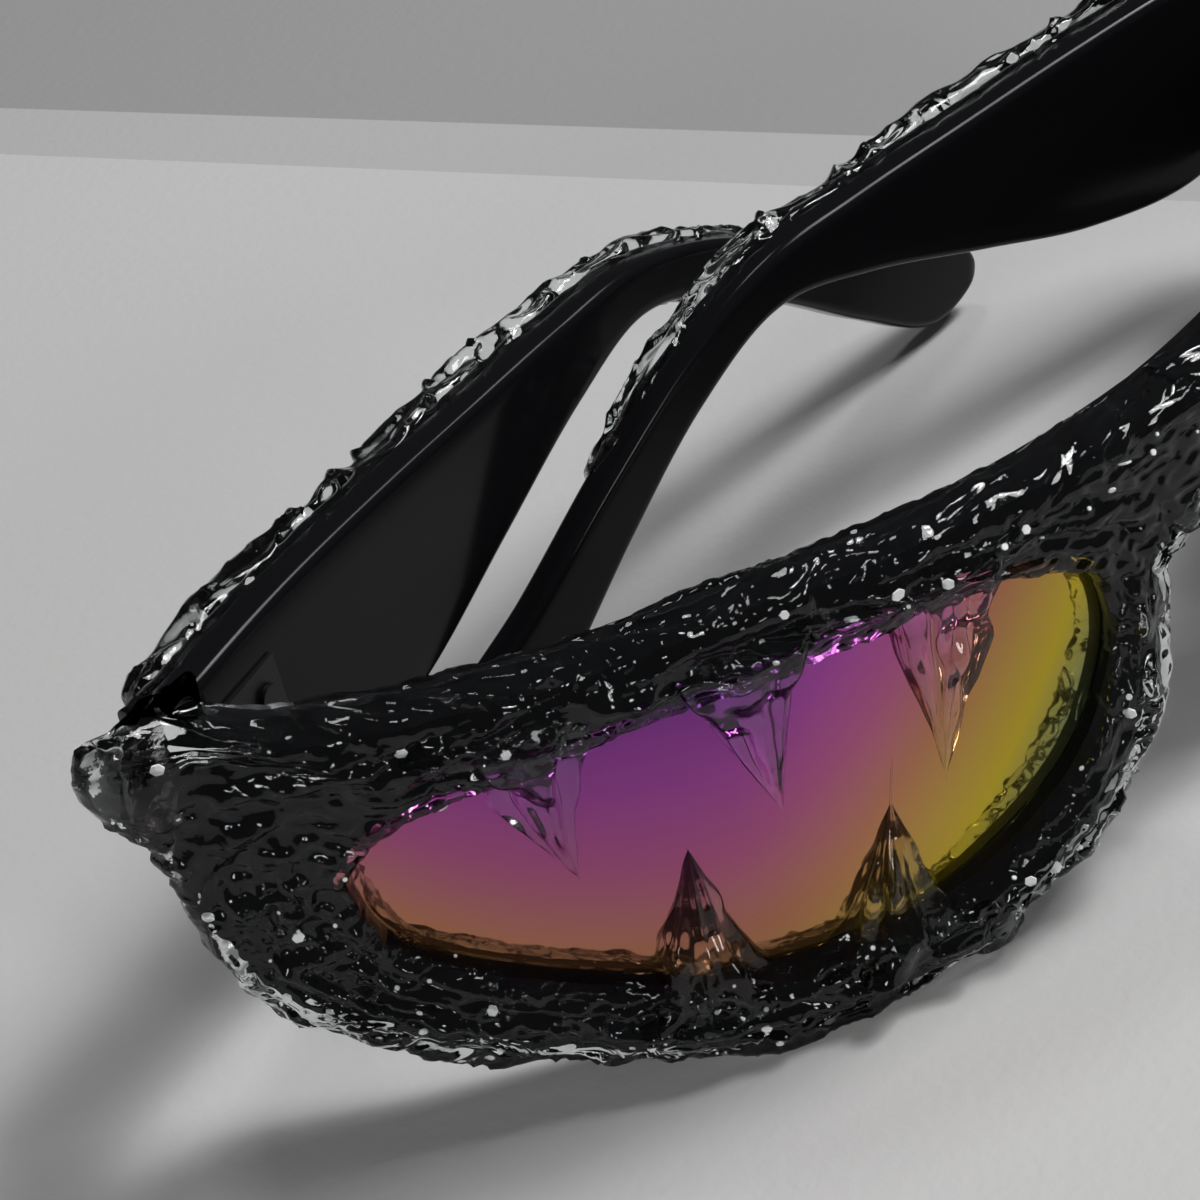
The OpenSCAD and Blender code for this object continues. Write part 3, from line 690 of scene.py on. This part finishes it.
def temple_ice_points(seed):
    """Rounded boxes over the outer half of the temple, swollen by ridges and beads, and thinned
    to nothing at both ends."""
    keep = (high_line[:, 0] > ice_start) & (high_line[:, 0] < ice_len)
    low, high = low_line[keep], high_line[keep]
    stations, known = np.linspace(0, len(low) - 1, 260), np.arange(len(low))
    low, high = (np.column_stack([np.interp(stations, known, line[:, k]) for k in (0, 1)])
                 for line in (low, high))
    across = high - low
    depth = np.linalg.norm(across, axis=1)
    across = across / depth[:, None]
    middle = (low + high) / 2
    end = np.clip(np.minimum((ice_len - high[:, 0]) / 5, high[:, 0] - 0.1), 0, 1)
    end = np.sqrt(1 - (1 - end) ** 2)
    half = depth / 2 - ice_over + 2 * ice_over * end
    tall = 0.55 + 0.85 * end
    ring = rounded_box(half, tall, np.minimum(1.0, tall * 0.9), 9, (44, 5, 4, 5))
    u = middle[:, :1] + across[:, :1] * ring[..., 0]
    z = middle[:, 1:] + across[:, 1:] * ring[..., 0]
    spot = np.stack([u * 0.45, z, ring[..., 1] + 0 * u], -1) + 60
    # ridges along the temple, swells and beads, as on the front
    rise = 0.9 * (ridges(spot, 1.4, seed) - 0.6)
    rise += 0.7 * (lumps(spot * [0.6, 1, 1], 1.6, seed + 1) - 0.5)
    rise += 2.6 * np.clip(lumps(spot * [2.2, 1, 1], 1.1, seed + 2) - 0.76, 0, 1)
    end = end[:, None]
    rise = rise * end
    edge = np.clip(np.abs(ring[..., 0]) - (half - 1)[:, None], 0, 1) * np.sign(ring[..., 0])
    face = np.clip(ring[..., 1] / tall[:, None], 0, 1)
    u = u + across[:, :1] * edge * rise
    z = z + across[:, 1:] * edge * rise
    x = outer_face(u) + ring[..., 1] - 0.2 * end + rise * face - 0.4 * (1 - end)
    return np.stack([x, np.maximum(u, butt_end(x, end_gap + 0.4)), np.maximum(z, 0.05)], -1)


for side, seed in (("left", 21), ("right", 33)):
    coat = temple_ice_points(seed)
    solid_piece(side + "_temple_skin", stored(coat, side), tube_faces(*coat.shape[:2]), resin,
                side + "_arm", "clear_ice", side + "_temple_ice")


# Hinges. Blackened steel leaves let into the plastic and riveted, with a slotted screw
# through the three barrels.
hinge_steel = finish_of("hinge_steel", (0.012, 0.012, 0.014, 1), metallic=0.6,
                        gloss=0.3, drift=0.2, ripple=0.1, scale=400.0)
for name, piece in node.items():
    if name.endswith(("leaf", "rivets", "screw")):
        dress(piece, hinge_steel)


# Flakes. Hexagons cut from white glitter film, up to 1 mm across, stirred into the resin
# before it was poured, so that they lie at the skin of the ice and a little askew.
flake_count, flake_seed, flake_t = 130, 5, 0.12
flake_white = finish_of("flake_white", (0.93, 0.94, 0.95, 1),
                        gloss=0.25, drift=0.2, ripple=0.05, scale=300.0)


def flakes(spots, normals, seed):
    """Hexagonal plates laid on the spots, each turned and tipped by its own random angle."""
    dice = np.random.default_rng(seed)
    normals = normals + dice.normal(0, 0.25, normals.shape)
    normals /= np.linalg.norm(normals, axis=1)[:, None]
    side = np.cross(normals, dice.normal(0, 1, normals.shape))
    side /= np.linalg.norm(side, axis=1)[:, None]
    other = np.cross(normals, side)
    size = (0.12 + 0.4 * dice.uniform(0, 1, len(spots)) ** 2.5)[:, None, None]
    a = np.radians(np.arange(0, 360, 60))[None, :, None]
    rim = spots[:, None] + size * (np.cos(a) * side[:, None] + np.sin(a) * other[:, None])
    step = normals[:, None] * flake_t / 2
    return np.concatenate([rim + step, rim - step], 1)


def scatter(piece, count, seed, chosen):
    """Chosen vertices of a skin, drawn at random, with their normals, in mm."""
    spots, normals = np.zeros((2, len(piece.data.vertices), 3))
    piece.data.vertices.foreach_get("co", spots.reshape(-1))
    piece.data.vertices.foreach_get("normal", normals.reshape(-1))
    spots = spots / mm
    pool = np.flatnonzero(chosen(spots, normals))
    pick = np.random.default_rng(seed).choice(pool, count, replace=False)
    return spots[pick], normals[pick]


def facing_out(spots, normals):
    """Points of the front skin that look up, or away from the middle of its cylinder."""
    away = spots - [0, front_r, 0]
    away[:, 2] = 0
    far = np.linalg.norm(away, axis=1)
    outwards = np.sum(away / far[:, None] * normals, 1) + np.maximum(normals[:, 2], 0)
    return (outwards > 0.5) & (far > front_r - 1.5)


flake_points = flakes(*scatter(front_ice, flake_count, flake_seed, facing_out), flake_seed)
flake_faces = sum((tube_faces(2, 6, n * 12) for n in range(flake_count)), [])
front_flakes = solid_piece("front_flakes", flake_points, flake_faces, flake_white,
                           "front", "clear_ice")
front_flakes.data.shade_flat()


# Table and room. A pale matt table top with a strip along its far edge and a greyer bench
# beyond, all level. The strip and bench are the table paint made darker as painted shade of a
# riser and a wall. Lit by one window and by small lamps that glint in the resin.
edge_at, edge_run, edge_back = np.array([[28.8, 131.0], [0.38, -0.925], [0.925, 0.38]])
far_off, strip_wide = 3000, 9.9
# the table's tone is its own paint; the strip's and bench's lower tones are painted shade
for name, tone_and_painted_shade, near, far in (("table", 0.6, -far_off, 0), ("strip", 0.5, 0, strip_wide),
                              ("painted_shade_bench", 0.35, strip_wide, far_off)):
    corners = [edge_at + along * edge_run + back * edge_back
               for along, back in ((-far_off, near), (far_off, near), (far_off, far), (-far_off, far))]
    surface = bpy.data.meshes.new(name)
    surface.from_pydata([(x * mm, y * mm, 0) for x, y in corners], [], [(0, 1, 2, 3)])
    surface.materials.append(finish_of(name + "_paint", (tone_and_painted_shade, tone_and_painted_shade, tone_and_painted_shade * 0.995, 1),
                                       gloss=0.5, drift=0.1, ripple=0.6, scale=900.0))
    surface = bpy.data.objects.new(name, surface)
    bpy.context.scene.collection.objects.link(surface)

world = bpy.data.worlds.new("room")
world.use_nodes = True
world.node_tree.nodes["Background"].inputs["Color"].default_value = (0.5, 0.51, 0.52, 1)
world.node_tree.nodes["Background"].inputs["Strength"].default_value = 0.1
bpy.context.scene.world = world

lit_point = np.array([0, 0.03, 0])
for name, at, size, watts in (("window", (0.68, -0.17, 0.95), 0.46, 9.0),
                              ("pane", (0.62, -0.1, 0.9), 0.14, 1.8),
                              ("low", (-0.1, -1.15, 0.5), 0.22, 2.6),
                              ("left", (-1.0, -0.3, 0.6), 0.18, 2.2),
                              ("back", (0.25, 0.45, 1.1), 0.2, 1.4)):
    lamp = bpy.data.lights.new(name, "AREA")
    lamp.energy, lamp.size = watts, size
    light = bpy.data.objects.new(name, lamp)
    back = (at - lit_point) / np.linalg.norm(at - lit_point)
    across = np.cross([0, 0, 1], back)
    across /= np.linalg.norm(across)
    light.matrix_world = placed(at, across, np.cross(back, across), back)
    bpy.context.scene.collection.objects.link(light)
bpy.context.scene.view_settings.view_transform = "Standard"
